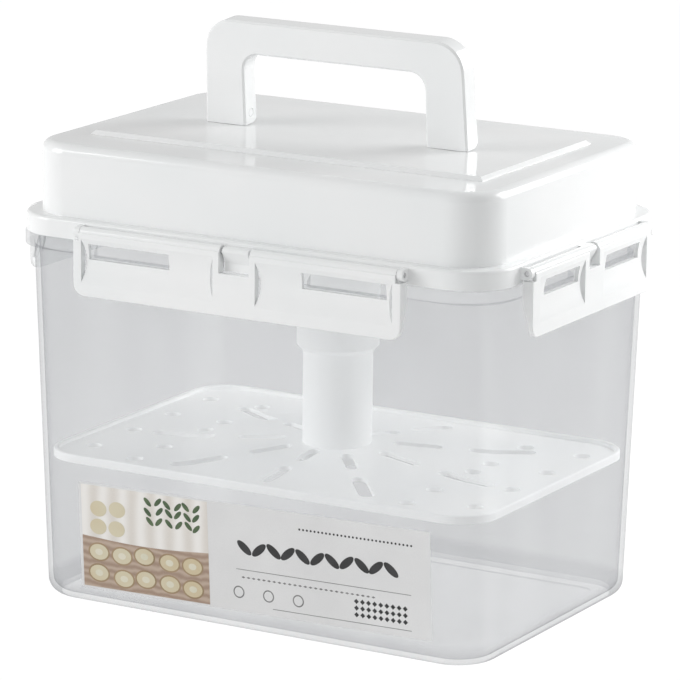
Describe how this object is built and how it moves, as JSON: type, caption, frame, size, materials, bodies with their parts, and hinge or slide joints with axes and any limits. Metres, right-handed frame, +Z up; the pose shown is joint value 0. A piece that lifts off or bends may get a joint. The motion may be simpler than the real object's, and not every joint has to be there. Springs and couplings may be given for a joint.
{
  "type": "pickle keeper with lift strainer",
  "caption": "Clear lidded food keeper with snap latches on all sides, a folding carry handle and a perforated pressing plate that slides up and down on a telescopic column under the lid.",
  "frame": {"origin": "middle of the underside of the container", "axes": "+X along the long side, the labelled front faces -Y, +Z up"},
  "size_m": [0.2526, 0.1786, 0.2564],
  "materials": {
    "clear_plastic": "clear, faintly frosted",
    "white_plastic": "gloss",
    "strainer_plastic": "satin",
    "silicone": "soft matt",
    "rod_steel": "bright drawn",
    "label_film": "printed satin film"
  },
  "bodies": {
    "container": {"container": "clear_plastic", "label": "label_film"},
    "lid": {"lid": "white_plastic", "lid_gasket": "silicone", "guide_sleeve": "strainer_plastic", "guide_bush": "strainer_plastic", "latch_rod_front": "rod_steel", "latch_rod_back": "rod_steel", "latch_rod_left": "rod_steel", "latch_rod_right": "rod_steel"},
    "handle": {"handle": "white_plastic", "handle_pin_left": "white_plastic", "handle_pin_right": "white_plastic"},
    "latch_front": {"latch_front": "white_plastic"},
    "latch_back": {"latch_back": "white_plastic"},
    "latch_left": {"latch_left": "white_plastic"},
    "latch_right": {"latch_right": "white_plastic"},
    "strainer": {"lift_column": "strainer_plastic", "grip_ring": "silicone", "strainer_plate": "strainer_plastic", "foot_nut": "strainer_plastic"}
  },
  "joints": [
    {"name": "lid_lift", "type": "slide", "parent": "container", "child": "lid", "axis": [0, 0, 1], "range_m": [0, 0.18]},
    {"name": "handle_fold", "type": "hinge", "parent": "lid", "child": "handle", "pos_m": [0, 0, 0.2137], "axis": [-1, 0, 0], "range_deg": [0, 94.5]},
    {"name": "latch_front_swing", "type": "hinge", "parent": "lid", "child": "latch_front", "pos_m": [0, -0.0862, 0.1712], "axis": [-1, 0, 0], "range_deg": [0, 100]},
    {"name": "latch_back_swing", "type": "hinge", "parent": "lid", "child": "latch_back", "pos_m": [0, 0.0862, 0.1712], "axis": [1, 0, 0], "range_deg": [0, 100]},
    {"name": "latch_right_swing", "type": "hinge", "parent": "lid", "child": "latch_right", "pos_m": [0.1232, 0, 0.1712], "axis": [0, -1, 0], "range_deg": [0, 100]},
    {"name": "latch_left_swing", "type": "hinge", "parent": "lid", "child": "latch_left", "pos_m": [-0.1232, 0, 0.1712], "axis": [0, 1, 0], "range_deg": [0, 100]},
    {"name": "strainer_lift", "type": "slide", "parent": "lid", "child": "strainer", "axis": [0, 0, 1], "range_m": [-0.044, 0.029]}
  ]
}
